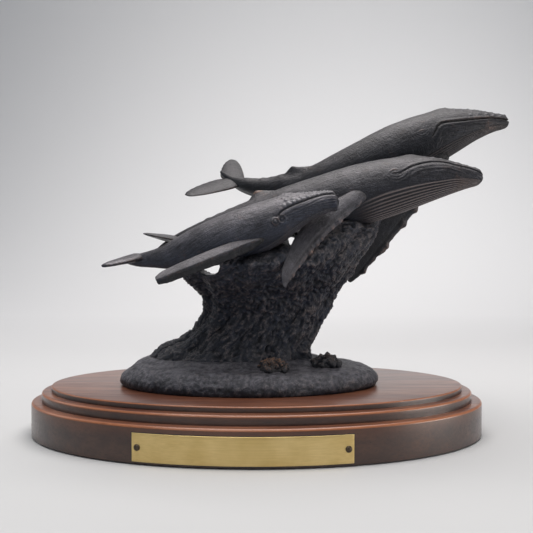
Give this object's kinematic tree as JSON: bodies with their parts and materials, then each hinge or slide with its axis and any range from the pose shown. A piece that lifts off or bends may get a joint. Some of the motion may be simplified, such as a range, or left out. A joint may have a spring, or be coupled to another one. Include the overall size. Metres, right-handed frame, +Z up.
{
  "type": "whale figurine",
  "caption": "Patinated bronze humpback whale family swimming over a reef, on an oval stepped wooden plinth with a blank brass plate and a felt underside; a desk or shelf ornament.",
  "frame": {"origin": "middle of the plinth's oval underside, on the table", "axes": "+X the way the whales swim, along the plinth's long axis; -Y the front with the plate; +Z up"},
  "size_m": [0.3354, 0.1992, 0.2253],
  "materials": {
    "wood": "satin varnish",
    "felt": "felt",
    "plate": "satin",
    "dark_pins": "dark patina",
    "steel": "plain",
    "bronze": "dark brown patina, rubbed brown on raised edges"
  },
  "bodies": {
    "root": {"plinth": "wood", "felt_pad": "felt", "plaque": "plate", "plaque_pins": "dark_pins", "mounting_screws": "steel", "mounting_washers": "steel", "reef_mound": "bronze", "reef_column": "bronze", "coral_cluster_front": "bronze", "coral_cluster_right": "bronze", "mother_body": "bronze", "mother_right_flipper": "bronze", "mother_left_flipper": "bronze", "mother_flukes": "bronze", "escort_body": "bronze", "escort_right_flipper": "bronze", "escort_left_flipper": "bronze", "escort_flukes": "bronze", "calf_body": "bronze", "calf_right_flipper": "bronze", "calf_left_flipper": "bronze", "calf_flukes": "bronze", "mother_seat_pins": "steel", "escort_seat_pins": "steel", "calf_seat_pins": "steel"}
  },
  "joints": []
}
